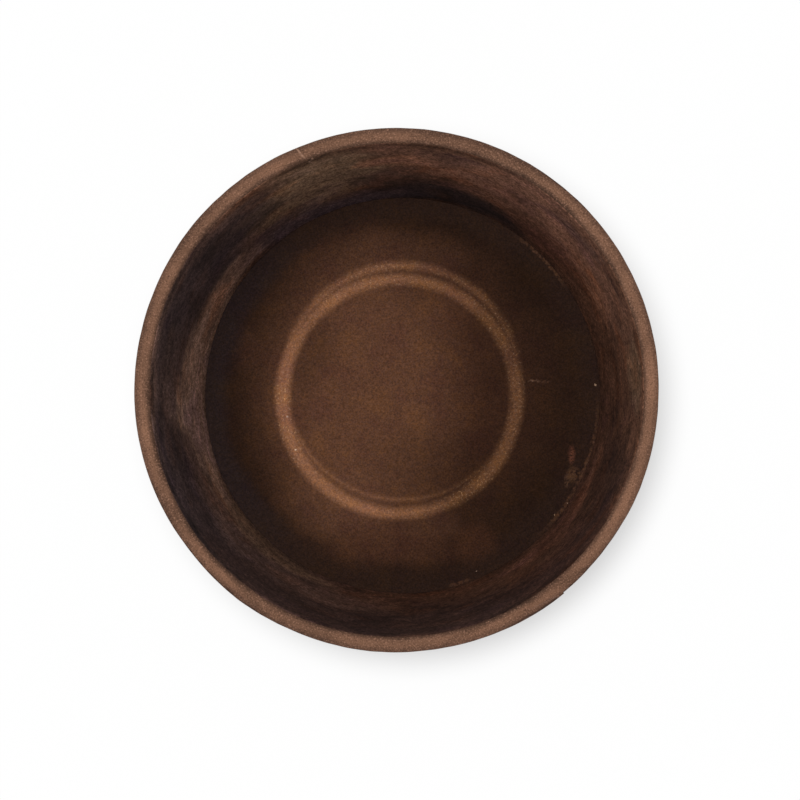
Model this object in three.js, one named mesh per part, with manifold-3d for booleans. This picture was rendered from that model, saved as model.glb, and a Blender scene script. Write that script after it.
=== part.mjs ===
// Leather plant pot: a round cover pot, laminated from thick vegetable-tanned leather and
// stained dark brown, that opens out a little towards its rim.
//
// The wall is two plies, one cemented inside the other. Each ply is one strip bent into a ring,
// and the ends of a strip are skived to long slopes that lie on each other as a scarf joint.
// The two joints stand far apart round the pot, so that the wall has no weak line.
// The floor disc lies on the sole disc, and both fill the foot of the outer ply. The inner ply
// stands on the edge of the floor disc and traps it.
//
// Millimetres, +Z up. The origin is the centre of the face that the pot stands on.

import * as THREE from 'three';
import { mergeVertices } from 'three/addons/utils/BufferGeometryUtils.js';
import Module from 'manifold-3d';

// Outside of the pot
const rimDiameter = 165;
const baseDiameter = 146;
const potHeight = 130;

// Leather thicknesses
const outerPlyThickness = 2.4;
const innerPlyThickness = 2.3;
const floorThickness = 2.6;
const soleThickness = 3.2;

// Film of cement between glued faces that curve or slope
const cementFilm = 0.3;

// Rounding that the edge tool and the burnisher leave on the cut edges
const outerRimRounding = 0.8;
const innerRimRounding = 1.3;
const footRounding = 1;
const soleRounding = 0.6;

// Scarf joints: length along the strip, and the place of the middle of each round the pot, in
// degrees from +X
const scarfLength = 12;
const outerJointAngle = 305;
const innerJointAngle = 116;

// Fineness of the round surfaces
const facetsPerTurn = 120;
const facetsPerRounding = 3;
const facetsPerScarf = 8;

// Sizes that follow
const floorTop = soleThickness + floorThickness;
const wallLean = Math.atan((rimDiameter - baseDiameter) / 2 / potHeight);

function wallOutside(height) {
  return THREE.MathUtils.lerp(baseDiameter / 2, rimDiameter / 2, height / potHeight);
}

function outerPlyInside(height) {
  return wallOutside(height) - outerPlyThickness;
}

// The inner ply and both discs fit the bore of the outer ply, less the film of cement
function fitInBore(height) {
  return outerPlyInside(height) - cementFilm;
}

function innerPlyInside(height) {
  return fitInBore(height) - innerPlyThickness;
}

// Leathers, with the colours of the finished pot
function leather(color, roughness) {
  return new THREE.MeshStandardMaterial({ color, roughness, metalness: 0 });
}

const outerWallLeather = leather('#3b271e', 0.7);
const innerWallLeather = leather('#37251d', 0.85);
const floorLeather = leather('#4a3022', 0.85);
const soleLeather = leather('#5c3f2d', 0.8);

// Full turn of a closed outline, drawn as radius and height and anticlockwise
function revolve(outline) {
  const geometry = new THREE.LatheGeometry(outline.getPoints(facetsPerRounding), facetsPerTurn);
  return geometry.rotateX(Math.PI / 2);
}

// Solids for the cuts
const wasm = await Module();
wasm.setup();

function solidFrom(geometry) {
  const bare = geometry.clone();
  bare.deleteAttribute('normal');
  bare.deleteAttribute('uv');
  const merged = mergeVertices(bare);
  return new wasm.Manifold(new wasm.Mesh({
    numProp: 3,
    vertProperties: merged.attributes.position.array,
    triVerts: new Uint32Array(merged.index.array),
  }));
}

function geometryFrom(solid) {
  const mesh = solid.getMesh();
  const geometry = new THREE.BufferGeometry();
  geometry.setAttribute('position', new THREE.BufferAttribute(mesh.vertProperties, 3));
  geometry.setIndex(new THREE.BufferAttribute(mesh.triVerts, 1));
  geometry.computeVertexNormals();
  return geometry;
}

// Film of cement between the two skived ends of a ply. It climbs evenly from the inner face to
// the outer face along the scarf, and leans with the wall.
function scarfFilm(insideAt, thickness, bottom, jointAngle) {
  const overrun = 1;
  const middleHeight = (bottom + potHeight) / 2;
  const inside = insideAt(middleHeight);
  const middleRadius = inside + thickness / 2;
  const turnOfScarf = scarfLength / middleRadius;
  const turnOfFilm = turnOfScarf * (thickness + 2 * overrun) / thickness;
  const lowerSide = [];
  const upperSide = [];
  for (let step = 0; step <= facetsPerScarf; step += 1) {
    const share = step / facetsPerScarf;
    const turn = (share - 0.5) * turnOfFilm;
    const radius = THREE.MathUtils.lerp(inside - overrun, inside + thickness + overrun, share);
    const direction = new THREE.Vector2(Math.cos(turn), Math.sin(turn));
    lowerSide.push(direction.clone().multiplyScalar(radius - cementFilm / 2));
    upperSide.push(direction.clone().multiplyScalar(radius + cementFilm / 2));
  }
  const outline = new THREE.Shape([...lowerSide, ...upperSide.reverse()]);
  const depth = potHeight - bottom + 2 * (overrun + thickness);
  const geometry = new THREE.ExtrudeGeometry(outline, { depth, bevelEnabled: false });
  geometry.translate(-middleRadius, 0, -depth / 2);
  geometry.rotateY(wallLean);
  geometry.translate(middleRadius, 0, middleHeight);
  return geometry.rotateZ(THREE.MathUtils.degToRad(jointAngle));
}

// A closed ring opened by its scarf joint, so that it becomes one strip with two ends
function opened(ring, film) {
  return geometryFrom(solidFrom(ring).subtract(solidFrom(film)));
}

// Outer ply: from the ground to the rim, with its outer corners rounded
function outerPly() {
  const outline = new THREE.Path();
  outline.moveTo(outerPlyInside(0), 0);
  outline.lineTo(wallOutside(0) - footRounding, 0);
  outline.quadraticCurveTo(wallOutside(0), 0, wallOutside(footRounding), footRounding);
  const rimStart = potHeight - outerRimRounding;
  outline.lineTo(wallOutside(rimStart), rimStart);
  outline.quadraticCurveTo(
    wallOutside(potHeight), potHeight,
    wallOutside(potHeight) - outerRimRounding, potHeight,
  );
  outline.lineTo(outerPlyInside(potHeight), potHeight);
  outline.closePath();
  const film = scarfFilm(outerPlyInside, outerPlyThickness, 0, outerJointAngle);
  return opened(revolve(outline), film);
}

// Inner ply: from the floor disc to the rim, with its inner corner rounded
function innerPly() {
  const outline = new THREE.Path();
  outline.moveTo(innerPlyInside(floorTop), floorTop);
  outline.lineTo(fitInBore(floorTop), floorTop);
  outline.lineTo(fitInBore(potHeight), potHeight);
  outline.lineTo(innerPlyInside(potHeight) + innerRimRounding, potHeight);
  const rimStart = potHeight - innerRimRounding;
  outline.quadraticCurveTo(
    innerPlyInside(potHeight), potHeight,
    innerPlyInside(rimStart), rimStart,
  );
  outline.closePath();
  const film = scarfFilm(innerPlyInside, innerPlyThickness, floorTop, innerJointAngle);
  return opened(revolve(outline), film);
}

// Floor disc: lies on the sole, with its edge under the inner ply
function floorDisc() {
  const outline = new THREE.Path();
  outline.moveTo(0, soleThickness);
  outline.lineTo(fitInBore(soleThickness), soleThickness);
  outline.lineTo(fitInBore(floorTop), floorTop);
  outline.lineTo(0, floorTop);
  return revolve(outline);
}

// Sole disc: the underside that the pot stands on, trimmed flush with the foot of the wall
function soleDisc() {
  const outline = new THREE.Path();
  outline.moveTo(0, 0);
  outline.lineTo(fitInBore(0) - soleRounding, 0);
  outline.quadraticCurveTo(fitInBore(0), 0, fitInBore(soleRounding), soleRounding);
  outline.lineTo(fitInBore(soleThickness), soleThickness);
  outline.lineTo(0, soleThickness);
  return revolve(outline);
}

const pot = new THREE.Group();

function addPiece(name, geometry, material) {
  const piece = new THREE.Mesh(geometry, material);
  piece.name = name;
  pot.add(piece);
}

addPiece('outer_wall', outerPly(), outerWallLeather);
addPiece('inner_wall', innerPly(), innerWallLeather);
addPiece('floor_disc', floorDisc(), floorLeather);
addPiece('sole_disc', soleDisc(), soleLeather);

export default pot;
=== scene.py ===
# %% [markdown]
# # A leather plant pot
#
# The pot is four pieces of thick vegetable-tanned leather, cemented together and stained dark
# brown by hand: two plies make the wall, and a floor disc on a sole disc makes the bottom.
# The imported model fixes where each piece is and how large. This script gives each piece the
# shape that the knife, the edge tool and the stain brush leave on it.
#
# Blender works in metres here. Sizes that a leather worker would read off a rule are written
# in millimetres, times mm. Tables of patches are in plain millimetres, and the loop that reads
# a table multiplies them.

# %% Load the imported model
from math import cos, hypot, radians, sin, sqrt, tau

import bmesh
import bpy
from mathutils import Matrix, Vector, noise


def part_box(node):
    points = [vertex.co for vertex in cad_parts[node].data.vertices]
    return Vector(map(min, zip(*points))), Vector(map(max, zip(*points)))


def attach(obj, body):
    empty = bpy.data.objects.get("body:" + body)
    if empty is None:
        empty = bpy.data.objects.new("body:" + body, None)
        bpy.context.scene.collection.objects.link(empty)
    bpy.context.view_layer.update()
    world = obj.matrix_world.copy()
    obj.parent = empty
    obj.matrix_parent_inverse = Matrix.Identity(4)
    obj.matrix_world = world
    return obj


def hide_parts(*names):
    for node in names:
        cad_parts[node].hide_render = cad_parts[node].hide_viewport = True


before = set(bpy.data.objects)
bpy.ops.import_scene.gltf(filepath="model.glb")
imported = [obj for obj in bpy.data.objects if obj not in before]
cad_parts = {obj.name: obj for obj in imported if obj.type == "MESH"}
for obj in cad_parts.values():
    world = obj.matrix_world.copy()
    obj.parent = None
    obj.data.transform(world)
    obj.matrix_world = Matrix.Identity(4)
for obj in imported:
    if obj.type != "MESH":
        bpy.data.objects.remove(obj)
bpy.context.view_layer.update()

mm = 0.001

# %% [markdown]
# ## Sizes
# Nothing is measured twice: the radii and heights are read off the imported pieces. A packed
# piece is a fan of flats, so its true radius is the largest one found on its outside and the
# smallest one found on its inside. Each wall face is straight from bottom to top, so two radii
# are enough to know it everywhere.

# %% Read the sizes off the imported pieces
near_enough = 0.01 * mm


def ring_radius(node, height, pick):
    """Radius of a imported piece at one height; pick is max for its outside, min for its inside."""
    corners = (v.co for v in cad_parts[node].data.vertices)
    return pick(hypot(c.x, c.y) for c in corners if abs(c.z - height) < near_enough)


def straight_face(low, low_radius, high, high_radius):
    """Gives the radius of a straight tapered face as a function of height."""
    slope = (high_radius - low_radius) / (high - low)
    return lambda height: low_radius + slope * (height - low)


pot_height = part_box("outer_wall")[1].z
floor_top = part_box("floor_disc")[1].z
sole_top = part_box("sole_disc")[1].z
foot_rounding = 1.0 * mm

outer_ply_inside = straight_face(
    0, ring_radius("outer_wall", 0, min),
    pot_height, ring_radius("outer_wall", pot_height, min),
)
inner_ply_outside = straight_face(
    floor_top, ring_radius("inner_wall", floor_top, max),
    pot_height, ring_radius("inner_wall", pot_height, max),
)
outer_ply = ring_radius("outer_wall", 0, max) + foot_rounding - outer_ply_inside(0)
inner_ply = inner_ply_outside(floor_top) - ring_radius("inner_wall", floor_top, min)
cement_film = outer_ply_inside(pot_height) - inner_ply_outside(pot_height)
rim_radius = outer_ply_inside(pot_height) + outer_ply
hollow_radius = inner_ply_outside(pot_height) - inner_ply
floor_radius = inner_ply_outside(floor_top) - inner_ply
print(
    "outer ply %.2f, inner ply %.2f, cement %.2f, floor top %.2f, height %.1f mm"
    % tuple(x / mm for x in (outer_ply, inner_ply, cement_film, floor_top, pot_height))
)

# %% [markdown]
# ## The wall plies
# On the bench a ply is a flat strip. The maker cuts it, skives both ends to long slopes, bends
# it into a ring, cements the slopes on each other and only then trims and rounds the edges, so
# the rounding runs over the joint without a notch. A ring cut from a cylinder would show no
# joint at all. So the mesh follows the bench: a grid is the flat strip, the solidify
# operator gives it thickness, a bevel makes the loops for its rounded edges, and moving its
# points skives the ends, rounds the edges and bends it.
#
# Each strip lies with its seen face up. The outer ply is bent with that face outwards
# and the inner ply with it towards the hollow.

# %% Cut a flat strip of leather
strip_columns = 480
strip_rows = 44
scarf_length = 12 * mm
heel_length = 1 * mm
touching = 0.001 * mm


def flat_strip(length, height, thickness):
    """A closed strip lying flat: x along it, y up the wall, z from the glued face to the seen.
    A grid of size 0.5 is 1 across, so the scale that follows is its real size."""
    strip = bmesh.new()
    bmesh.ops.create_grid(strip, x_segments=strip_columns, y_segments=strip_rows, size=0.5)
    bmesh.ops.scale(strip, vec=(length, height, 1), verts=strip.verts)
    bmesh.ops.solidify(strip, geom=strip.faces[:], thickness=thickness)
    corner = Vector(min(v.co[axis] for v in strip.verts) for axis in range(3))
    bmesh.ops.translate(strip, vec=-corner, verts=strip.verts)
    for from_end in (scarf_length, scarf_length + heel_length):
        for x in (from_end, length - from_end):
            whole = strip.verts[:] + strip.edges[:] + strip.faces[:]
            bmesh.ops.bisect_plane(strip, geom=whole, plane_co=(x, 0, 0), plane_no=(1, 0, 0))
    return strip


def round_edge(strip, y, z, rounding):
    """Cuts loops along one long edge of the strip, where the edge tool rounds it."""
    edge = [
        e for e in strip.edges
        if all(abs(v.co.y - y) < touching and abs(v.co.z - z) < touching for v in e.verts)
    ]
    bmesh.ops.bevel(
        strip, geom=edge, offset=rounding, offset_type="OFFSET",
        segments=5, profile=0.5, affect="EDGES", material=-1,
    )


# %% Skive the ends and round the edges
tip_run = 45 * mm
glued_gap = 0.02 * mm


def smooth(value, low, high):
    """0 below low, 1 above high and an even S-shaped ramp between."""
    share = min(max((value - low) / (high - low), 0), 1)
    return share * share * (3 - 2 * share)


def ring_face(x, length, thickness, tip):
    """Depth of the seen face of the closed ring, where the last end covers the first. A knife
    leaves the tip a little thick, so the last end stands proud by its tip and the cement under
    it, and the leather eases up to that over the run before it."""
    proud = tip + glued_gap
    if x < scarf_length:
        return thickness + proud
    return thickness + proud * (1 - smooth(length - x, scarf_length, tip_run))


def skived(x, z, length, thickness, tip):
    """Depth of a point of the strip once both ends are skived. The first end is thinned from
    its seen face and the last end from its glued face, so that the last end lies on the first."""
    to_last = length - x
    proud = tip + glued_gap
    glued = proud * (1 - smooth(to_last, scarf_length, scarf_length + heel_length))
    if to_last < scarf_length:
        glued = proud + (thickness - tip) * (1 - to_last / scarf_length)
    seen = ring_face(x, length, thickness, tip)
    if x < scarf_length:
        seen = tip + (thickness - tip) * x / scarf_length
    return glued + (seen - glued) * z / thickness


def set_back(depth_in, rounding):
    """How far a rounded edge stands back from the cut, at a depth in from the seen face."""
    reach = min(max(rounding - depth_in, 0), rounding)
    return rounding - sqrt(rounding * rounding - reach * reach)


def shape_strip(strip, length, height, thickness, tip, top_rounding, bottom_rounding):
    """Skives both ends, then rounds the two long edges across the joint."""
    for vert in strip.verts:
        x, y, z = vert.co
        z = skived(x, z, length, thickness, tip)
        depth_in = ring_face(x, length, thickness, tip) - z
        if y > height - top_rounding - touching:
            y = height - set_back(depth_in, top_rounding)
        if y < bottom_rounding + touching:
            y = set_back(depth_in, bottom_rounding)
        vert.co = (x, y, z)


# %% [markdown]
# Bending is one move for every point: the distance along the strip becomes an angle, and the
# depth in the leather becomes a radius. Hide is never quite even, so the seen faces then swell
# and sink by up to two tenths of a millimetre, and the trimmed rim waves a little. That comes
# from noise read at each point's place on the finished ring, so the two plies and the two ends
# of each strip move together and no gap opens between them.

# %% Bend the strip
def bend(strip, glued_face, bottom, joint_angle, bend_radius, outward):
    """Bends the strip round the pot; outward is 1 for the outer ply and -1 for the inner."""
    for vert in strip.verts:
        along, up, depth = vert.co
        height = bottom + up
        angle = joint_angle + outward * (along - scarf_length / 2) / bend_radius
        radius = glued_face(height) + outward * depth
        vert.co = (radius * cos(angle), radius * sin(angle), height)


# %% Let it be uneven
broad_swell = 0.22 * mm
broad_size = 32 * mm
fine_swell = 0.07 * mm
fine_size = 4 * mm
rim_wave = 0.16 * mm
rim_wave_size = 26 * mm
rim_reach = 12 * mm

# Noise swings by about a half each way, so this shift keeps a wave on one side of a flat face
one_sided = 0.5


def swell(ring, glued_face, thickness, outward):
    """Lets the seen face of a bent ply, and the trimmed rim, rise and fall."""
    for vert in ring.verts:
        radius = hypot(vert.co.x, vert.co.y)
        share = outward * (radius - glued_face(vert.co.z)) / thickness
        share = min(max(share, 0), 1)
        rise = broad_swell * noise.noise(vert.co / broad_size)
        rise += fine_swell * noise.noise(vert.co / fine_size)
        wave = noise.noise(Vector((vert.co.x, vert.co.y, 0)) / rim_wave_size) - one_sided
        wave *= smooth(vert.co.z, pot_height - rim_reach, pot_height)
        grow = 1 + outward * share * rise / radius
        vert.co = (vert.co.x * grow, vert.co.y * grow, vert.co.z + rim_wave * wave)


# %% Finish a mesh
sharp_fold = radians(35)
FACE, CUT_EDGE = 0, 1

# On the flat strip, a face whose normal leans this far from straight up or down is a cut one
cut_lean = 0.5


def mark_cut_edges(strip):
    """Gives the faces that a knife made the second material, while the strip still lies flat."""
    strip.normal_update()
    for face in strip.faces:
        made_by_knife = max(abs(face.normal.x), abs(face.normal.y)) > cut_lean
        face.material_index = CUT_EDGE if made_by_knife else FACE


def make_object(name, piece, node):
    """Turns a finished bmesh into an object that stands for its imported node."""
    bmesh.ops.remove_doubles(piece, verts=piece.verts, dist=touching)
    bmesh.ops.recalc_face_normals(piece, faces=piece.faces)
    for face in piece.faces:
        face.smooth = True
    mesh = bpy.data.meshes.new(name)
    piece.to_mesh(mesh)
    piece.free()
    mesh.set_sharp_from_angle(angle=sharp_fold)
    made = bpy.data.objects.new(name, mesh)
    bpy.context.scene.collection.objects.link(made)
    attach(made, "root")
    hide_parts(node)
    print(name, "has", len(mesh.polygons), "faces")
    return made


# %% Make both plies
outer_joint_angle = radians(305)
inner_joint_angle = radians(116)
outer_rim_rounding = 0.8 * mm
inner_rim_rounding = 1.3 * mm
inner_foot_rounding = 0.3 * mm
outer_tip = 0.3 * mm
inner_tip = 0.1 * mm
film_share = (cement_film - glued_gap) / 2


def wall_ply(
    name, node, glued_face, thickness, bottom, joint_angle, outward,
    tip, top_rounding, bottom_rounding,
):
    """One ply of the wall, from the flat strip to the closed ring."""
    height = pot_height - bottom
    bend_radius = glued_face(bottom + height / 2) + outward * thickness / 2
    length = tau * bend_radius + scarf_length
    strip = flat_strip(length, height, thickness)
    round_edge(strip, height, thickness, top_rounding)
    round_edge(strip, 0, thickness, bottom_rounding)
    mark_cut_edges(strip)
    shape_strip(strip, length, height, thickness, tip, top_rounding, bottom_rounding)
    bend(strip, glued_face, bottom, joint_angle, bend_radius, outward)
    swell(strip, glued_face, thickness, outward)
    return make_object(name, strip, node)


outer_wall = wall_ply(
    "outer_wall_ply", "outer_wall",
    lambda height: outer_ply_inside(height) - film_share, outer_ply + film_share,
    0, outer_joint_angle, 1, outer_tip, outer_rim_rounding, foot_rounding,
)
inner_wall = wall_ply(
    "inner_wall_ply", "inner_wall",
    lambda height: inner_ply_outside(height) + film_share, inner_ply + film_share,
    floor_top, inner_joint_angle, -1, inner_tip, inner_rim_rounding, inner_foot_rounding,
)

# %% [markdown]
# ## The discs
# The floor and the sole are rounds cut with a knife along a compass line, so each is an outline
# spun once round the axis. The floor carries the tracks of a plastic inner pot: its foot
# stood in two places, was nudged a little in the first, and pressed shallow rings. They are a
# tenth of a millimetre deep, just enough for the light to catch, and the material rubs them
# paler later.

# %% Spin a disc
disc_steps = 288


def turn_disc(outline, ring_counts):
    """Spins an outline, given as radius and height from axis to axis, into a closed disc.
    ring_counts says how many rings each stretch of the outline is divided into."""
    disc = bmesh.new()
    points = [disc.verts.new((radius, 0, height)) for radius, height in outline]
    edges = [disc.edges.new(pair) for pair in zip(points, points[1:])]
    for edge, count in zip(edges, ring_counts):
        bmesh.ops.bisect_edges(disc, edges=[edge], cuts=count - 1)
    bmesh.ops.spin(
        disc, geom=disc.verts[:] + disc.edges[:], cent=(0, 0, 0), axis=(0, 0, 1),
        angle=tau, steps=disc_steps, use_merge=True,
    )
    bmesh.ops.remove_doubles(disc, verts=disc.verts, dist=touching)
    return disc


def disc_edge(height):
    """Radius of both discs, which fill the bore of the outer ply."""
    return inner_ply_outside(height) + film_share


# %% The floor disc
stand_radius = 40.6 * mm
stand_track_width = 3 * mm
stand_track_depth = 0.12 * mm
first_stand = Vector((-1.6, -0.3, 0)) * mm
nudged_stand = Vector((-0.4, -0.3, 0)) * mm
second_stand = Vector((-0.2, 4.5, 0)) * mm
floor_swell = 0.12 * mm
floor_swell_size = 30 * mm
flat_border = 5 * mm

floor = turn_disc(
    [
        (0, floor_top), (disc_edge(floor_top), floor_top),
        (disc_edge(sole_top), sole_top), (0, sole_top),
    ],
    (90, 2, 4),
)
for vert in floor.verts:
    if vert.co.z < floor_top - touching:
        continue
    flat_place = Vector((vert.co.x, vert.co.y, 0))
    under_wall = smooth(flat_place.length, floor_radius - flat_border, floor_radius)
    wave = noise.noise(flat_place / floor_swell_size) + one_sided
    sink = floor_swell * wave * (1 - under_wall)
    off_track = min(
        abs((flat_place - stand).length - stand_radius)
        for stand in (first_stand, nudged_stand, second_stand)
    )
    sink += stand_track_depth * (1 - smooth(off_track, 0, stand_track_width / 2))
    vert.co.z -= sink
floor_disc = make_object("floor_leather_disc", floor, "floor_disc")

# %% The sole disc
sole_rounding = 0.6 * mm

sole = turn_disc(
    [(0, sole_top), (disc_edge(sole_top), sole_top), (disc_edge(0), 0), (0, 0)],
    (4, 3, 60),
)
sole_corner = [
    e for e in sole.edges
    if all(
        abs(v.co.z) < touching and hypot(v.co.x, v.co.y) > disc_edge(0) - near_enough
        for v in e.verts
    )
]
bmesh.ops.bevel(
    sole, geom=sole_corner, offset=sole_rounding, offset_type="OFFSET",
    segments=4, profile=0.5, affect="EDGES", material=-1,
)
sole_disc = make_object("sole_leather_disc", sole, "sole_disc")

# %% [markdown]
# ## How the leathers are coloured
# All four leathers start as the same pale tan hide. The maker brushes a dark stain on by hand, so
# it lies thick in some places and thin in others, and use rubs it off again. The
# materials build the colour in that order: a base stain, then washes over it, each
# where a pattern says. A pattern is either cloudy noise or a distance: from the middle of a
# patch, from a circle on the floor, or from the pot's axis. All are read in object space, in
# metres, so each scale is a real size.
#
# Every wash and rub says at which value of its pattern it starts and at which it is full. A
# distance is 0 in the middle of a patch and 1 at its edge, so from 1.4 to 0.6 is a broad soft
# edge that crosses the outline. Noise mostly lies between 0.3 and 0.7.
#
# A brush leaves no clean edges. Before a distance is read, the place is pushed about by
# noise, so that the same round patch comes out ragged and hand-daubed.
#
# One pixel of the render is about 0.3 mm wide on the pot. The pores, the nap and the fibre ends
# of real hide are finer than that, so each is drawn as coarse as it needs to show.
#
# Noise on a bent strip could follow the strip's own length, but it would then break at
# the scarf joint. The real stain went on after the joint was glued, and object space has no
# break there.

# %% Colours and nodes
# The Mix node repeats its socket names for each kind of value, so these go by number
MIX_FACTOR, MIX_BELOW, MIX_ABOVE = 0, 6, 7
MIX_COLOUR = 2
white = (1, 1, 1, 1)


def stain(hex_code):
    """An sRGB hex colour, turned to the linear colour that the shader works in."""
    parts = [int(hex_code[i:i + 2], 16) / 255 for i in (1, 3, 5)]
    linear = [p / 12.92 if p <= 0.04045 else ((p + 0.055) / 1.055) ** 2.4 for p in parts]
    return (*linear, 1)


def add_node(tree, kind, inputs, **settings):
    """Adds a node. Each input is given a value, or another node's output to link to."""
    node = tree.nodes.new(kind)
    for name, setting in settings.items():
        setattr(node, name, setting)
    for socket, value in inputs.items():
        if isinstance(value, bpy.types.NodeSocket):
            tree.links.new(value, node.inputs[socket])
        else:
            node.inputs[socket].default_value = value
    return node


def new_material(name, roughness, specular):
    """Makes a material and gives its node tree, its shader and the place on the object."""
    material = bpy.data.materials.new(name)
    material.use_nodes = True
    tree = material.node_tree
    shader = tree.nodes["Principled BSDF"]
    shader.inputs["Roughness"].default_value = roughness
    shader.inputs["Specular IOR Level"].default_value = specular
    place = add_node(tree, "ShaderNodeTexCoord", {}).outputs["Object"]
    return material, tree, shader, place


# %% Patterns of noise
def clouds(tree, place, along, up, detail=3, harsh=0.55, seed=0.0, output="Fac"):
    """Cloudy noise, 0 to 1, with spots about as long round the pot and as high as given."""
    spread = add_node(tree, "ShaderNodeMapping", {
        "Vector": place, "Location": (seed, seed, seed),
        "Scale": (1 / along, 1 / along, 1 / up),
    })
    return add_node(tree, "ShaderNodeTexNoise", {
        "Vector": spread.outputs["Vector"], "Scale": 1, "Detail": detail, "Roughness": harsh,
    }).outputs[output]


# The noise seldom strays more than a fifth from its middle, so this many times is a full push
stray_to_push = 5
noise_middle = 0.5


def daubed(tree, place, bay, push, detail=5, seed=0.0):
    """The place pushed about by noise. What is read there has an edge with bays of one size
    that stray by about the push."""
    noise_colour = clouds(tree, place, bay, bay, detail, harsh=0.6, seed=seed, output="Color")
    even = add_node(tree, "ShaderNodeVectorMath", {
        0: noise_colour, 1: (noise_middle,) * 3,
    }, operation="SUBTRACT")
    return add_node(tree, "ShaderNodeVectorMath", {
        0: even.outputs["Vector"], 1: (stray_to_push * push,) * 3, 2: place,
    }, operation="MULTIPLY_ADD").outputs["Vector"]


# %% Patterns of distance from a patch, 0 in the middle and 1 at the edge
patch_depth = 20 * mm


def from_patch(tree, place, middle, reach, turn=0):
    """Distance from the middle of an egg-shaped patch with half sizes along x, y and z."""
    local = add_node(tree, "ShaderNodeMapping", {
        "Vector": place, "Location": middle, "Rotation": (0, 0, turn), "Scale": reach,
    }, vector_type="TEXTURE")
    return add_node(tree, "ShaderNodeVectorMath", {
        0: local.outputs["Vector"],
    }, operation="LENGTH").outputs["Value"]


def from_daub(tree, place, angle, radius, height, along, up, deep=60 * mm):
    """Distance from a patch on a round wall, at an angle in degrees, a radius and a height,
    with half sizes along the wall, up it and through it."""
    turn = radians(angle)
    middle = (radius * cos(turn), radius * sin(turn), height)
    return from_patch(tree, place, middle, (deep, along, up), turn)


def from_floor_patch(tree, place, x, y, along, across):
    """Distance from a patch on the floor. Its place and its half sizes along x and y are in
    millimetres."""
    middle = (x * mm, y * mm, floor_top)
    return from_patch(tree, place, middle, (along * mm, across * mm, patch_depth))


# %% Patterns of distance from a line, and how patterns join
def from_axis(tree, place, middle=(0, 0, 0)):
    """Distance in metres from an upright line through a middle."""
    flat = add_node(tree, "ShaderNodeMapping", {
        "Vector": place, "Location": [-c for c in middle[:2]] + [0], "Scale": (1, 1, 0),
    })
    return add_node(tree, "ShaderNodeVectorMath", {
        0: flat.outputs["Vector"],
    }, operation="LENGTH").outputs["Value"]


def from_circle(tree, place, radius, half_width, middle=(0, 0, 0)):
    """Distance from a circle that lies flat round a middle, 1 at its half width."""
    off = add_node(tree, "ShaderNodeMath", {
        0: from_axis(tree, place, middle), 1: radius,
    }, operation="SUBTRACT")
    share = add_node(tree, "ShaderNodeMath", {
        0: off.outputs[0], 1: half_width,
    }, operation="DIVIDE")
    return add_node(tree, "ShaderNodeMath", {0: share.outputs[0]}, operation="ABSOLUTE").outputs[0]


def within_all(tree, pattern, *others):
    """The largest of some distances, so that a wash lies only where all the patterns are."""
    for other in others:
        larger = add_node(tree, "ShaderNodeMath", {0: pattern, 1: other}, operation="MAXIMUM")
        pattern = larger.outputs[0]
    return pattern


def near_any(tree, pattern, *others):
    """The smallest of some distances, so that patterns that cross don't add up."""
    for other in others:
        smaller = add_node(tree, "ShaderNodeMath", {0: pattern, 1: other}, operation="MINIMUM")
        pattern = smaller.outputs[0]
    return pattern


# %% Washes, rubbing and tinting
def feathered(tree, pattern, starts, full, low, high):
    """Turns a pattern to a soft edge: low where it is at starts, and high where it is at full."""
    return add_node(tree, "ShaderNodeMapRange", {
        "Value": pattern, "From Min": starts, "From Max": full, "To Min": low, "To Max": high,
    }, interpolation_type="SMOOTHSTEP").outputs["Result"]


def wash(tree, below, hex_code, pattern, starts, full, strength=1):
    """Lays a stain over the colour below, up to a strength."""
    return add_node(tree, "ShaderNodeMix", {
        MIX_FACTOR: feathered(tree, pattern, starts, full, 0, strength),
        MIX_BELOW: below, MIX_ABOVE: stain(hex_code),
    }, data_type="RGBA").outputs[MIX_COLOUR]


def rub(tree, colour, pattern, starts, full, times):
    """Thins the stain to so many times as light, or thickens it where times is below 1."""
    return add_node(tree, "ShaderNodeVectorMath", {
        0: colour, "Scale": feathered(tree, pattern, starts, full, 1, times),
    }, operation="SCALE").outputs["Vector"]


def tint(tree, colour, pattern, starts, full, filter_colour):
    """Warms or cools a colour through a filter, given as times red, green and blue."""
    coloured = add_node(tree, "ShaderNodeMix", {
        MIX_FACTOR: feathered(tree, pattern, starts, full, 0, 1),
        MIX_BELOW: white, MIX_ABOVE: (*filter_colour, 1),
    }, data_type="RGBA").outputs[MIX_COLOUR]
    return add_node(tree, "ShaderNodeVectorMath", {
        0: colour, 1: coloured,
    }, operation="MULTIPLY").outputs["Vector"]


# %% Mottling and the last step of every leather
mottle_dark, mottle_light = 0.25, 0.75


def mottle(tree, colour, pattern, swing):
    """Makes a colour lighter and darker by a share, along with a pattern of noise."""
    light = add_node(tree, "ShaderNodeMapRange", {
        "Value": pattern, "From Min": mottle_dark, "From Max": mottle_light,
        "To Min": 1 - swing, "To Max": 1 + swing,
    }, clamp=False)
    return add_node(tree, "ShaderNodeVectorMath", {
        0: colour, "Scale": light.outputs["Result"],
    }, operation="SCALE").outputs["Vector"]


def finish_leather(material, shader, colour, *layers):
    """Gives a leather its colour, and raises it by patterns, each with its height in metres."""
    tree = material.node_tree
    tree.links.new(colour, shader.inputs["Base Color"])
    normal = None
    for pattern, height in layers:
        inputs = {"Height": pattern, "Distance": height, "Strength": 1}
        if normal is not None:
            inputs["Normal"] = normal
        normal = add_node(tree, "ShaderNodeBump", inputs).outputs["Normal"]
    tree.links.new(normal, shader.inputs["Normal"])
    print(material.name, "is made of", len(tree.nodes), "nodes")


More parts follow.
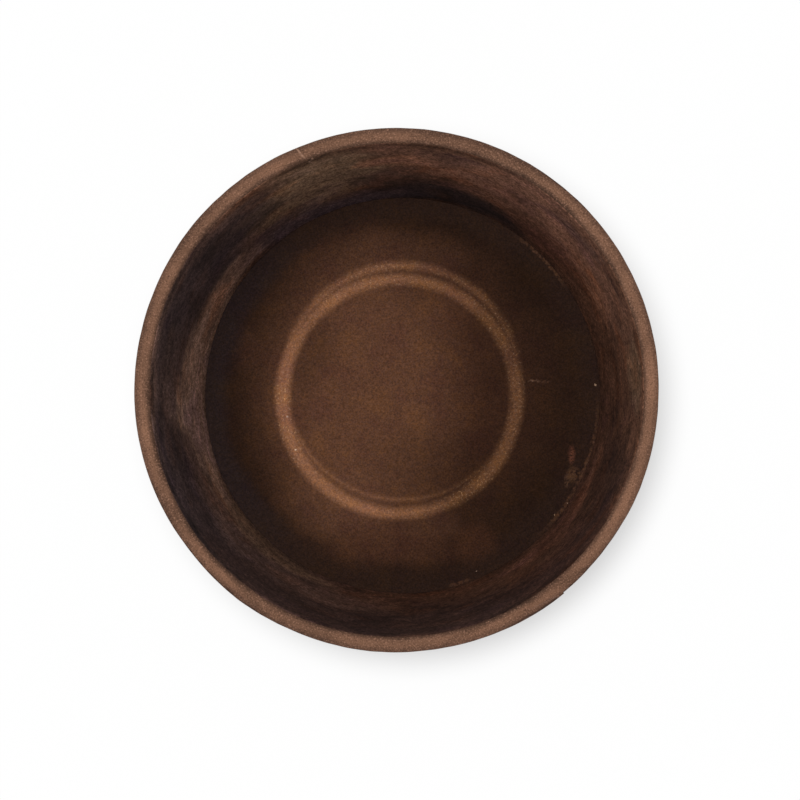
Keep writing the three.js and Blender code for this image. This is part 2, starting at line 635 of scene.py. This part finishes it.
# %% [markdown]
# ## The inner wall
# Stain daubed on the flesh side with a rag: matt, and patchy at every size. On the right and at
# the top it went on thin and the red of the hide shows through. On the left and at the bottom it
# is nearly black under the rim, and low down on the left it has a pale bloom where water
# stood. Painting that into an image would be easy, but it would show its pixels close up and need
# its own map, so it is laid on daub by daub, as the maker did.

# %% Inner wall: the stains, and a painted shade for the foot
stain_wall = "#694837"
stain_thin = "#8d6451"
stain_tan = "#8d7059"
stain_rust = "#7a4c39"
stain_grey = "#6c554d"
stain_umber = "#402a24"
stain_thick = "#3b2a26"
stain_plum = "#3b3032"
bare_spot = "#a7745a"
water_bloom = "#bb9884"
# Painted shade: a purple-dark colour for the shade low on the wall, where it meets the floor
painted_foot_shade = "#2c282c"
corner_grey = "#65575e"

# %% Inner wall: stained daub by daub, with painted shade at the foot
# Flesh side of cowhide, stained with a rag: no shine at all, and every stain has a ragged edge
inner_face, tree, shader, place = new_material("daubed stain on flesh side", 0.95, 0.1)
smeared = daubed(tree, place, 30 * mm, 8 * mm, detail=2)
seen_wall_radius = straight_face(floor_top, floor_radius, pot_height, hollow_radius)

# Stain or painted shade, angle round the pot in degrees, then the height, half the length along the
# wall and half the height of the daub in millimetres, and how strong it is
wall_daubs = (
    (stain_grey, 190, 66, 94, 90, 0.9),
    (stain_thin, 58, 92, 58, 44, 0.85),
    (stain_tan, 113, 80, 19, 48, 0.95),
    (stain_grey, 93, 54, 12, 18, 0.5),
    (bare_spot, 93, 92, 12, 14, 0.8),
    (bare_spot, 31, 66, 14, 16, 0.9),
    (stain_thin, 320, 34, 22, 18, 0.6),
    (stain_tan, 3, 112, 14, 14, 0.5),
    # The next two rows are painted shade, low on the wall in the corner with the floor
    (painted_foot_shade, 76, 26, 24, 22, 0.8),
    (painted_foot_shade, 98, 10, 20, 12, 0.4),
    (corner_grey, 116, 18, 32, 17, 0.75),
    (stain_plum, 153, 92, 30, 36, 0.75),
    (stain_plum, 130, 76, 17, 15, 0.6),
    (stain_plum, 150, 47, 18, 12, 0.8),
    (stain_plum, 206, 108, 34, 34, 0.8),
    (stain_plum, 44, 106, 12, 12, 0.45),
    (stain_thick, 76, 110, 9, 12, 0.5),
    (stain_thick, 345, 72, 9, 15, 0.45),
    (stain_thick, 302, 114, 18, 14, 0.6),
    (stain_plum, 30, 117, 10, 10, 0.45),
    (bare_spot, 60, 84, 8, 10, 0.45),
    (stain_rust, 46, 40, 16, 20, 0.35),
    (stain_rust, 318, 36, 20, 20, 0.4),
    # Painted shade in the corner with the floor, as above
    (painted_foot_shade, 60, 12, 12, 9, 0.5),
    (corner_grey, 120, 38, 14, 13, 0.4),
    (water_bloom, 214, 18, 18, 10, 0.35),
    (stain_thick, 232, 66, 15, 10, 0.4),
    (stain_thick, 347, 46, 10, 14, 0.5),
    (stain_thick, 246, 110, 38, 38, 0.8),
    (stain_thick, 280, 98, 34, 44, 0.85),
    (stain_umber, 316, 104, 24, 38, 0.8),
    (stain_thick, 336, 86, 14, 36, 0.55),
    (stain_thick, 2, 61, 6, 9, 0.5),
    (stain_tan, 220, 22, 30, 20, 0.75),
    (water_bloom, 176, 26, 44, 30, 0.8),
    (water_bloom, 184, 66, 10, 16, 0.55),
    (stain_thick, 201, 46, 4, 8, 0.4),
)
colour = stain(stain_wall)
for hex_code, angle, height, along, up, strength in wall_daubs:
    radius = seen_wall_radius(height * mm)
    daub = from_daub(tree, smeared, angle, radius, height * mm, along * mm, up * mm)
    colour = wash(tree, colour, hex_code, daub, 1.4, 0.6, strength)
print(len(wall_daubs), "daubs of stain on the inner wall")

# %% Inner wall: mottling
warm_blush = (1.16, 0.98, 0.84)
cold_blush = (0.96, 0.94, 1.1)

# Tufts of nap and flesh fibres are a few tenths of a millimetre wide at most, too fine to show
# from above, so both are drawn as coarse as this
tuft_width, tuft_length = 1.6 * mm, 3.6 * mm
fibre_width, fibre_length = 0.65 * mm, 1.3 * mm

broad = clouds(tree, place, 18 * mm, 40 * mm, detail=3, harsh=0.6, seed=4.7)
drags = clouds(tree, smeared, 11 * mm, 16 * mm, detail=4, harsh=0.6, seed=9.1)
blush = clouds(tree, smeared, 20 * mm, 26 * mm, detail=4, harsh=0.6, seed=3.1)
nap = clouds(tree, place, tuft_width, tuft_length, detail=2, seed=6.6)
fibres = clouds(tree, place, fibre_width, fibre_length, detail=2)
colour = tint(tree, colour, blush, 0.5, 0.72, warm_blush)
colour = tint(tree, colour, blush, 0.5, 0.28, cold_blush)
colour = mottle(tree, colour, broad, 0.3)
colour = mottle(tree, colour, drags, 0.5)
colour = mottle(tree, colour, nap, 0.5)

# %% Inner wall: runs of stain under the rim, painted shade at the foot and the scar at the joint
run_length = 9 * mm
foot_shade_top = 16 * mm
foot_shade_full = 0.4 * foot_shade_top
dried_cement = "#b08a74"

lip_place = daubed(tree, place, 8 * mm, 1.5 * mm, seed=8.3)
for angle, along in ((72, 26), (113, 12), (152, 20), (180, 10), (212, 30), (306, 24)):
    run_down = from_daub(
        tree, lip_place, angle, hollow_radius, pot_height, along * mm, run_length,
    )
    colour = rub(tree, colour, run_down, 1.1, 0.6, 0.5)
height = add_node(tree, "ShaderNodeSeparateXYZ", {"Vector": smeared}).outputs["Z"]
# Painted shade: the lowest 16 mm of the wall darker, where the corner with the floor lies in shade
colour = rub(tree, colour, height, foot_shade_top, foot_shade_full, 0.88)
scar_angle = 110.5
scar_height = pot_height - 3 * mm
scar = from_daub(tree, lip_place, scar_angle, hollow_radius, scar_height, 0.6 * mm, 9 * mm)
colour = wash(tree, colour, dried_cement, scar, 1.2, 0.3, 0.5)
colour = mottle(tree, colour, fibres, 0.66)
tooth = clouds(tree, place, 1.1 * mm, 1.1 * mm)
finish_leather(inner_face, shader, colour, (drags, 0.1 * mm), (tooth, 0.02 * mm))

# %% [markdown]
# ## The floor
# The same hide with its grain side up. The stain thins out to a warm brown in the middle and
# pools dark towards the wall and on the right. A nursery pot stood in two places, nudged a
# little in the first, and its foot rubbed two rings nearly back to the tan of the hide. The
# rings could be modelled as ridges, but they have no lit and shaded side, so they are wear:
# each thins whatever stain lies under it by the same number of times.

# %% Floor: the pooled stain
# Grain side of cowhide under a matt stain: fine pores, no shine, and paler where it is rubbed
floor_face, tree, shader, place = new_material("stained leather, rubbed by a pot", 0.9, 0.1)
pooled = daubed(tree, place, 30 * mm, 2.5 * mm, seed=2.3)

floor_thick = "#301e14"
floor_dark = "#452b1e"
floor_warm = "#6a4734"
floor_thin = "#75503c"
floor_red = "#5f3d2c"
floor_rust = "#5f3b29"
floor_brown = "#5c3d2d"

# Stain, then the middle in x and y and the half sizes in millimetres, and how strong it is
floor_pools = (
    (floor_dark, 4, 3, 44, 50, 0.95),
    (floor_warm, -15, 0, 35, 51, 1),
    (floor_thin, -24, -38, 18, 11, 0.3),
    (floor_red, -4, -52, 22, 9, 0.45),
    (floor_rust, 26, -51, 8, 7, 0.3),
    (floor_brown, 12, -45, 9, 5, 0.4),
    (floor_brown, 2, 49, 22, 8, 0.4),
    (floor_brown, -55, 15, 6, 8, 0.25),
)
colour = stain(floor_thick)
for hex_code, x, y, along, across, strength in floor_pools:
    pool = from_floor_patch(tree, pooled, x, y, along, across)
    colour = wash(tree, colour, hex_code, pool, 1.3, 0.5, strength)

# %% Floor: thicker and thinner places
floor_rubs = (
    (9, -22, 20, 13, 0.75),
    (-32, 15, 6, 16, 0.78),
    (-53, -17, 9, 12, 0.85),
    (18, 58, 16, 9, 0.75),
    (45, 41, 11, 14, 0.75),
    (46, -36, 11, 12, 0.85),
    (-27, 19, 6, 12, 0.85),
    (-35, 2, 4, 22, 0.85),
    (33, 5, 5, 9, 0.85),
    (19, 31, 12, 9, 1.25),
)
for x, y, along, across, times in floor_rubs:
    pool = from_floor_patch(tree, pooled, x, y, along, across)
    colour = rub(tree, colour, pool, 1.4, 0.3, times)
print(len(floor_pools) + len(floor_rubs), "pools and rubs on the floor")

# %% Floor: darker towards the wall
border_dark = "#302019"
left_dark = "#2b2223"
border_starts = floor_radius - 11 * mm
border_full = floor_radius - 3 * mm

from_middle = from_axis(tree, pooled)
colour = wash(tree, colour, border_dark, from_middle, border_starts, border_full, 0.75)
left_corner = within_all(
    tree,
    from_circle(tree, pooled, floor_radius + 1 * mm, 11 * mm),
    from_floor_patch(tree, pooled, -60, 2, 60, 76),
)
colour = wash(tree, colour, left_dark, left_corner, 1, 0.4, 0.55)

# %% Floor: the two rings, rubbed thin
track_half_width = 2.8 * mm
second_half_width = 3.5 * mm
ring_tan = "#c08a5c"

# Real pores are 0.1 to 0.2 mm apart, too fine to show, so they are drawn as coarse as this
grain_pores = 0.5 * mm
pores_in_tracks = 0.4

pores = clouds(tree, place, grain_pores, grain_pores, detail=2)
gritty = daubed(tree, place, 1.6 * mm, 0.25 * mm, seed=4.4)
first_track, nudged_track = (
    from_circle(tree, gritty, stand_radius, track_half_width, stand)
    for stand in (first_stand, nudged_stand)
)
second_track = from_circle(tree, gritty, stand_radius, second_half_width, second_stand)

# The second ring is weaker than the first, and fades further from the top down
from_top = from_floor_patch(tree, place, 0, 50, 105, 105)
weaker_track = add_node(tree, "ShaderNodeMath", {
    0: second_track, 1: feathered(tree, from_top, 0.4, 0.8, 0.3, 0.65),
}, operation="ADD").outputs[0]
tracks = near_any(tree, first_track, nudged_track, weaker_track)
grainy_tracks = add_node(tree, "ShaderNodeMath", {
    0: pores, 1: pores_in_tracks, 2: tracks,
}, operation="MULTIPLY_ADD").outputs[0]
colour = rub(tree, colour, grainy_tracks, 1.3, 0.1, 2.3)
colour = wash(tree, colour, ring_tan, grainy_tracks, 1.3, 0.1, 0.14)

# %% Floor: stretches of the rings that are rubbed more or less, and bare specks in them
bare_grain = "#dcae86"

ring_stretches = (
    (-41, -6, 14, 36, 1.18),
    (-6, 47, 16, 7, 1.1),
    (-4, -41, 14, 9, 1.15),
    (35, 21, 12, 16, 0.8),
    (22, -37, 10, 6, 0.85),
)
for x, y, along, across, times in ring_stretches:
    stretch = from_floor_patch(tree, pooled, x, y, along, across)
    colour = rub(tree, colour, within_all(tree, tracks, stretch), 1.2, 0.6, times)
specks = clouds(tree, place, 0.9 * mm, 0.9 * mm, detail=4, harsh=0.75, seed=7.7)
bare_specks = within_all(tree, tracks, feathered(tree, specks, 0.5, 0.66, 1.2, 0.3))
colour = wash(tree, colour, bare_grain, bare_specks, 1, 0.3, 0.2)
for x, y, along, across, strength in (
    (-40, -8, 7, 24, 0.35),
    (25, -33, 12, 9, 0.12),
    (-18, 40, 28, 12, 0.2),
):
    chafed = from_floor_patch(tree, pooled, x, y, along, across)
    chafed = within_all(tree, bare_specks, chafed)
    colour = wash(tree, colour, bare_grain, chafed, 1, 0.3, strength)

# %% Floor: the seam in the corner
seam_radius = floor_radius - 0.5 * mm
seam_half_width = 0.7 * mm
seam_brown = "#6d4a34"

scraped = daubed(tree, place, 2 * mm, 0.4 * mm, seed=5.2)
crumbs = clouds(tree, place, 1.5 * mm, 1.5 * mm, detail=3, harsh=0.7, seed=6.1)
broken = feathered(tree, crumbs, 0.34, 0.62, 1.1, 0.3)
for angle, along in ((-24, 26), (44, 12), (287, 4)):
    seam = within_all(
        tree,
        from_circle(tree, scraped, seam_radius, seam_half_width),
        from_daub(tree, place, angle, floor_radius, floor_top, along * mm, 10 * mm, patch_depth),
        broken,
    )
    colour = wash(tree, colour, seam_brown, seam, 1.2, 0.3, 0.45)

# %% Floor: scrapes and grit
scrape_red = "#6e4333"
scrape_brown = "#664731"
scrape_tan = "#6d4e3a"
dash_pale = "#6f5140"
dash_faint = "#5f4232"
for hex_code, x, y, along, across, strength in (
    (scrape_red, 58.6, -20.8, 1.3, 3.4, 0.8),
    (scrape_brown, 59.4, -27.4, 2.8, 3, 0.75),
    (scrape_tan, 56.8, -29.6, 0.8, 2.6, 0.6),
    (dash_pale, 45.6, 5.0, 2.3, 0.45, 1),
    (dash_faint, 49.6, 4.8, 2.6, 0.35, 0.6),
):
    scrape = from_floor_patch(tree, scraped, x, y, along, across)
    scrape = within_all(tree, scrape, broken)
    colour = wash(tree, colour, hex_code, scrape, 1.2, 0.3, strength)
grey_grit = "#b3927c"
pale_grit = "#f2dcc6"
for hex_code, x, y, size in (
    (grey_grit, 66.7, 3.8, 0.45),
    (grey_grit, 57.1, -37.3, 0.22),
    (grey_grit, 52.8, -41.3, 0.25),
    (grey_grit, 25.5, -60.9, 0.25),
    (pale_grit, -37.2, -18.8, 0.4),
    (pale_grit, -39.9, -7.3, 0.3),
):
    grit = from_floor_patch(tree, scraped, x, y, size, size)
    colour = wash(tree, colour, hex_code, grit, 1.3, 0.4, 0.8)

# %% Floor: grain
warm_blotch = (1.02, 1, 0.88)
cold_blotch = (1, 0.96, 1.04)
warm_grain = (1.05, 1, 0.86)
cold_grain = (0.95, 1, 1.12)

blotches = clouds(tree, place, 9 * mm, 9 * mm, detail=3, seed=2.9)
colour = tint(tree, colour, blotches, 0.5, 0.68, warm_blotch)
colour = tint(tree, colour, blotches, 0.5, 0.32, cold_blotch)
dye_take = clouds(tree, place, 0.7 * mm, 0.7 * mm, detail=2, seed=3.6)
colour = tint(tree, colour, dye_take, 0.48, 0.66, warm_grain)
colour = tint(tree, colour, dye_take, 0.52, 0.34, cold_grain)
colour = mottle(tree, colour, blotches, 0.16)
colour = mottle(tree, colour, crumbs, 0.16)
colour = mottle(tree, colour, pores, 0.45)
finish_leather(floor_face, shader, colour, (pores, 0.03 * mm))

# %% [markdown]
# ## The cut edge
# Both plies show their cut at the rim: packed fibre ends, burnished but never quite smooth. The
# middle of the band is palest, because the face stains creep over both corners, a little
# further in some places than in others, and on the inner corner a painted shade also darkens it
# where the edge rounds down into the hollow.

# %% Cut edge: the pale line, and where it was handled
# Cut cowhide, burnished: pale and dark fibre ends side by side under a dull sheen
cut_edge, tree, shader, place = new_material("burnished cut leather", 0.85, 0.15)
edge_brown = "#654838"
edge_pale = "#785642"
down_edge = 9 * mm
across_edge = 6 * mm
slop_width = 1.6 * mm

soaked = clouds(tree, place, 12 * mm, 12 * mm, detail=4, seed=7.4)
crept = daubed(tree, place, 5 * mm, 0.35 * mm, seed=3.3)
pale_line = from_circle(tree, crept, rim_radius - 2.6 * mm, 1.9 * mm)
colour = stain(edge_brown)
colour = wash(tree, colour, edge_pale, pale_line, 1, 0.2, 0.8)
for angle, along, times in (
    (1, 18, 1.25), (72, 50, 0.75), (118, 8, 1.2), (143, 12, 0.82),
    (185, 18, 1.25), (244, 26, 0.85), (286, 10, 1.15), (333, 16, 1.2),
):
    handled = from_daub(
        tree, crept, angle, rim_radius, pot_height, along * mm, down_edge, across_edge,
    )
    colour = rub(tree, colour, handled, 1.3, 0.5, times)
for angle, along in ((52, 14), (190, 22), (222, 26), (298, 30)):
    slop = from_daub(
        tree, crept, angle, hollow_radius, pot_height, along * mm, down_edge, slop_width,
    )
    colour = rub(tree, colour, slop, 1.3, 0.5, 0.7)
colour = mottle(tree, colour, soaked, 0.2)

# %% Cut edge: fibre ends, the stain that crept over both corners, and painted shade at the inner corner
fibre_pale = "#a67c66"
fibre_dark = "#34231c"
crept_stain = "#33211b"

# Real fibre ends are 0.1 to 0.2 mm wide, too fine to show, so they are drawn as coarse as this
fibre_ends = 0.5 * mm

speckle = clouds(tree, place, fibre_ends, fibre_ends, detail=3, harsh=0.7)
from_middle = from_axis(tree, crept)
colour = wash(tree, colour, fibre_pale, speckle, 0.52, 0.7, 0.75)
colour = wash(tree, colour, fibre_dark, speckle, 0.47, 0.28, 0.8)
# The inner corner darker: partly stain crept over from the wall, partly painted shade where the
# edge rounds down into the hollow
colour = rub(tree, colour, from_middle, hollow_radius + 1.5 * mm, hollow_radius, 0.6)
colour = rub(tree, colour, from_middle, rim_radius - 2.2 * mm, rim_radius - 0.8 * mm, 0.87)
corner_starts, corner_full = rim_radius - 0.4 * mm, rim_radius + 0.2 * mm
colour = wash(tree, colour, crept_stain, from_middle, corner_starts, corner_full, 0.3)

# %% Cut edge: slivers of the outer face, and the glue line of the inner joint
sliver_width = 0.55 * mm
sliver_dark = "#2b1d19"
glue_line_middle = (-30.3 * mm, 74.7 * mm, pot_height)
glue_line_reach = (2.8 * mm, 0.4 * mm, 8 * mm)
glue_line_turn = radians(128)

curls = clouds(tree, place, 6 * mm, 6 * mm, detail=2, seed=1.9)
curled = feathered(tree, curls, 0.42, 0.56, 1.3, 0.3)
for angle, along in ((47, 15), (223, 46), (312, 28)):
    sliver = within_all(
        tree,
        from_circle(tree, crept, rim_radius, sliver_width),
        from_daub(
            tree, place, angle, rim_radius, pot_height, along * mm, down_edge, patch_depth,
        ),
        curled,
    )
    colour = wash(tree, colour, sliver_dark, sliver, 1.2, 0.5, 0.6)
glue_line = from_patch(tree, crept, glue_line_middle, glue_line_reach, glue_line_turn)
glue_line = within_all(tree, glue_line, curled)
colour = wash(tree, colour, dried_cement, glue_line, 1.2, 0.4, 0.45)
finish_leather(cut_edge, shader, colour, (speckle, 0.06 * mm))

# %% [markdown]
# ## The outside
# The photograph looks straight down and shows nothing of it but dark slivers along
# the rim, so its finish is a fair guess from those: the grain side of the hide, its pebbles and
# creases closed by wax, stained darker than the inside, and worn where hands and shelves touch.

# %% Outer wall: pebbled grain
# Grain side of cowhide, waxed: a low sheen that breaks up on the pebbles, and dark creases
outer_face, tree, shader, place = new_material("pebbled grain, dark stain, waxed", 0.5, 0.35)

# Pebbles of such grain are 1 to 2 mm across, so this is their real size
pebble = 1.6 * mm
lump_push = 0.7 * pebble
crease_share = 0.22

lumps = clouds(tree, place, 3 * mm, 3 * mm, detail=2, seed=1.1)
lumpy_place = add_node(tree, "ShaderNodeVectorMath", {
    0: lumps, 1: (lump_push,) * 3, 2: place,
}, operation="MULTIPLY_ADD").outputs[0]
cells = add_node(tree, "ShaderNodeTexVoronoi", {
    "Vector": lumpy_place, "Scale": 1 / pebble,
}, feature="DISTANCE_TO_EDGE").outputs["Distance"]
pebbles = feathered(tree, cells, 0, crease_share, 0, 1)

# %% Outer wall: dark stain, worn at the rim and the foot
outer_brown = "#452e24"
outer_warm = "#5f4233"
outer_dark = "#2e1f19"
rubbed_brown = "#6b4a39"
worn_rim = "#7a5644"
worn_foot = "#6e4d3d"
wear_stray = 6 * mm

rubs = clouds(tree, place, 60 * mm, 22 * mm, detail=4, harsh=0.55)
wear = clouds(tree, place, 14 * mm, 12 * mm, detail=5, harsh=0.6, seed=5.9)
height = add_node(tree, "ShaderNodeSeparateXYZ", {"Vector": place}).outputs["Z"]
worn_height = add_node(tree, "ShaderNodeMath", {
    0: wear, 1: wear_stray, 2: height,
}, operation="MULTIPLY_ADD").outputs[0]
colour = stain(outer_brown)
colour = wash(tree, colour, outer_warm, rubs, 0.45, 0.75, 0.9)
colour = wash(tree, colour, outer_dark, rubs, 0.45, 0.25, 0.8)
colour = wash(tree, colour, rubbed_brown, wear, 0.56, 0.8, 0.6)
colour = wash(tree, colour, worn_rim, worn_height, pot_height - 1 * mm, pot_height + 3 * mm, 0.8)
colour = wash(tree, colour, worn_foot, worn_height, 8 * mm, 3.5 * mm, 0.8)

# %% Outer wall: light scuffs, the tip of the joint and dark creases
scuff_pale = "#7d5a48"
joint_dark = "#1f1512"
crease_dark = "#2a1c16"

scuffs = clouds(tree, place, 26 * mm, 0.7 * mm, detail=1, seed=2.2)
scuffed = within_all(
    tree,
    feathered(tree, scuffs, 0.64, 0.74, 1.2, 0.3),
    feathered(tree, wear, 0.5, 0.62, 1.2, 0.3),
)
colour = wash(tree, colour, scuff_pale, scuffed, 1, 0.3, 0.55)
for angle, along, hex_code, strength in (
    (309.9, 1.6, worn_rim, 0.35), (309.2, 0.5, joint_dark, 0.8),
):
    tip = from_daub(
        tree, lumpy_place, angle, rim_radius, pot_height / 2, along * mm, pot_height,
    )
    colour = wash(tree, colour, hex_code, tip, 1.2, 0.4, strength)
colour = wash(tree, colour, crease_dark, pebbles, 0.6, 0, 0.6)
finish_leather(outer_face, shader, colour, (wear, 0.15 * mm), (pebbles, 0.06 * mm))

# %% [markdown]
# ## The underside
# Also a guess: the thick sole disc that the pot stands on, stained once and scuffed by shelves.

# %% Sole: stained once, scuffed
# Thick sole leather, rolled hard: a little sheen, cloudy stain and pale scuffs
sole_face, tree, shader, place = new_material("scuffed sole leather", 0.75, 0.25)
sole_brown = "#5f4231"
sole_thin = "#7a583f"
sole_thick = "#3f2a20"
sole_scuff = "#93705a"
sole_border = "#452f25"
border_starts = 64 * mm
border_full = 71 * mm

patchy = clouds(tree, place, 20 * mm, 20 * mm, detail=4, seed=1.7)
scuffs = clouds(tree, place, 3 * mm, 3 * mm, detail=4, harsh=0.7, seed=8.8)
pores = clouds(tree, place, grain_pores, grain_pores, detail=2)
colour = stain(sole_brown)
colour = wash(tree, colour, sole_thin, patchy, 0.45, 0.7, 0.6)
colour = wash(tree, colour, sole_thick, patchy, 0.42, 0.25, 0.5)
colour = wash(tree, colour, sole_scuff, scuffs, 0.6, 0.75, 0.6)
colour = wash(tree, colour, sole_border, from_axis(tree, place), border_starts, border_full, 0.7)
colour = mottle(tree, colour, pores, 0.2)
finish_leather(sole_face, shader, colour, (scuffs, 0.06 * mm), (pores, 0.04 * mm))

# %% Give each piece its leather
for piece, materials in (
    (outer_wall, (outer_face, cut_edge)),
    (inner_wall, (inner_face, cut_edge)),
    (floor_disc, (floor_face,)),
    (sole_disc, (sole_face,)),
):
    for material in materials:
        piece.data.materials.append(material)
    print(piece.name, "wears", ", ".join(material.name for material in materials))

# %% [markdown]
# ## The camera
# The photograph looks down into the pot from about 1.2 m above the rim. The floor looks smaller
# than the rim because it is further away, and it lies a little to the lower right of the
# rim's centre, so the camera stands that way too. The camera's place follows from these three
# measures, taken in the 800 pixel frame of the photograph.

# %% Place the camera
frame_pixels = 800
rim_centre_px = Vector((396.4, 389.8))
floor_centre_px = Vector((402.5, 395.5))
rim_radius_px = 262.7
camera_above_rim = 1.2
sensor_width_mm = 36

focal_px = rim_radius_px / rim_radius * camera_above_rim
depth = pot_height - floor_top
px_per_metre_slid = focal_px * (1 / camera_above_rim - 1 / (camera_above_rim + depth))
slide = (floor_centre_px - rim_centre_px) / px_per_metre_slid
camera_place = Vector((slide.x, -slide.y, pot_height + camera_above_rim))
off_centre_px = Vector((frame_pixels / 2, frame_pixels / 2)) - rim_centre_px
off_centre = off_centre_px / rim_radius_px * rim_radius
aim = Vector((off_centre.x, -off_centre.y, pot_height))

camera = bpy.data.objects.new("camera", bpy.data.cameras.new("camera"))
bpy.context.scene.collection.objects.link(camera)
camera.data.sensor_width = sensor_width_mm
camera.data.lens = focal_px * sensor_width_mm / frame_pixels
back = (camera_place - aim).normalized()
right = Vector((0, 1, 0)).cross(back).normalized()
turned = Matrix((right, back.cross(right), back)).transposed()
camera.matrix_world = Matrix.Translation(camera_place) @ turned.to_4x4()
bpy.context.scene.camera = camera
print("camera at", [round(c, 4) for c in camera_place], "lens", round(camera.data.lens, 1))

# %% [markdown]
# ## The studio
# A plain white room gives half of the light and one round softbox above gives the other half.
# It hangs a little to the upper left, because the soft shadow on the ground lies to
# the lower right. Together they light level white paper to white, so a colour renders about
# as it is written. The paper is also shown partly by its own glow, to the camera and in
# reflections only: that keeps the ground white without more light on the pot. The glow is weak
# beside the pot and strong further out, so that the shadow is as short as in the photograph.

# %% Hang the softbox
softbox_place = Vector((-0.11, 0.10, 2.0))
softbox_width = 0.4
softbox_power = 20
room_light = 0.5

softbox = bpy.data.lights.new("softbox", "AREA")
softbox.shape = "DISK"
softbox.size = softbox_width
softbox.energy = softbox_power
softbox_object = bpy.data.objects.new("softbox", softbox)
bpy.context.scene.collection.objects.link(softbox_object)
softbox_object.location = softbox_place
to_pot = softbox_place - Vector((0, 0, pot_height / 2))
softbox_object.rotation_euler = to_pot.to_track_quat("Z", "Y").to_euler()
softbox_object.visible_camera = False
print("softbox of", softbox_power, "W at", [round(c, 2) for c in softbox_place])


# %% The white room
def seen_directly(tree):
    """1 for rays from the camera, in a reflection or through glass, and 0 for light on things."""
    rays = add_node(tree, "ShaderNodeLightPath", {})
    either = add_node(tree, "ShaderNodeMath", {
        0: rays.outputs["Is Camera Ray"], 1: rays.outputs["Is Glossy Ray"],
    }, operation="MAXIMUM")
    return add_node(tree, "ShaderNodeMath", {
        0: either.outputs[0], 1: rays.outputs["Is Transmission Ray"],
    }, operation="MAXIMUM").outputs[0]


world = bpy.data.worlds.new("white room")
bpy.context.scene.world = world
world.use_nodes = True
room = world.node_tree
strength = add_node(room, "ShaderNodeMapRange", {
    "Value": seen_directly(room), "To Min": room_light, "To Max": 1,
})
background = room.nodes["Background"]
background.inputs["Color"].default_value = white
room.links.new(strength.outputs["Result"], background.inputs["Strength"])

# %% The paper ground, and its glow
paper_white = "#fbfbfb"
glow_beside_pot = 0.45
glow_beyond = 0.97
shadow_start = 85 * mm
shadow_end = 100 * mm
shadow_middle = (1.2 * mm, -1.2 * mm, 0)

# Uncoated paper: white, with no gloss at all
paper, tree, shader, place = new_material("white paper", 1, 0)
shader.inputs["Base Color"].default_value = stain(paper_white)
glow = add_node(tree, "ShaderNodeEmission", {"Color": white, "Strength": 1})
from_shadow = from_axis(tree, place, shadow_middle)
paper_glow = feathered(
    tree, from_shadow, shadow_start, shadow_end, glow_beside_pot, glow_beyond,
)
share = add_node(tree, "ShaderNodeMath", {
    0: seen_directly(tree), 1: paper_glow,
}, operation="MULTIPLY")
shown = add_node(tree, "ShaderNodeMixShader", {
    0: share.outputs[0], 1: shader.outputs[0], 2: glow.outputs[0],
})
tree.links.new(shown.outputs[0], tree.nodes["Material Output"].inputs["Surface"])

# %% Lay the ground
ground_reach = 4
below_pot = 0.3 * mm

ground = bmesh.new()
bmesh.ops.create_grid(ground, x_segments=2, y_segments=2, size=ground_reach)
bmesh.ops.translate(ground, vec=(0, 0, -below_pot), verts=ground.verts)
ground_mesh = bpy.data.meshes.new("ground")
ground.to_mesh(ground_mesh)
ground.free()
ground_mesh.materials.append(paper)
ground_object = bpy.data.objects.new("ground", ground_mesh)
bpy.context.scene.collection.objects.link(ground_object)

bpy.context.scene.view_settings.view_transform = "Standard"
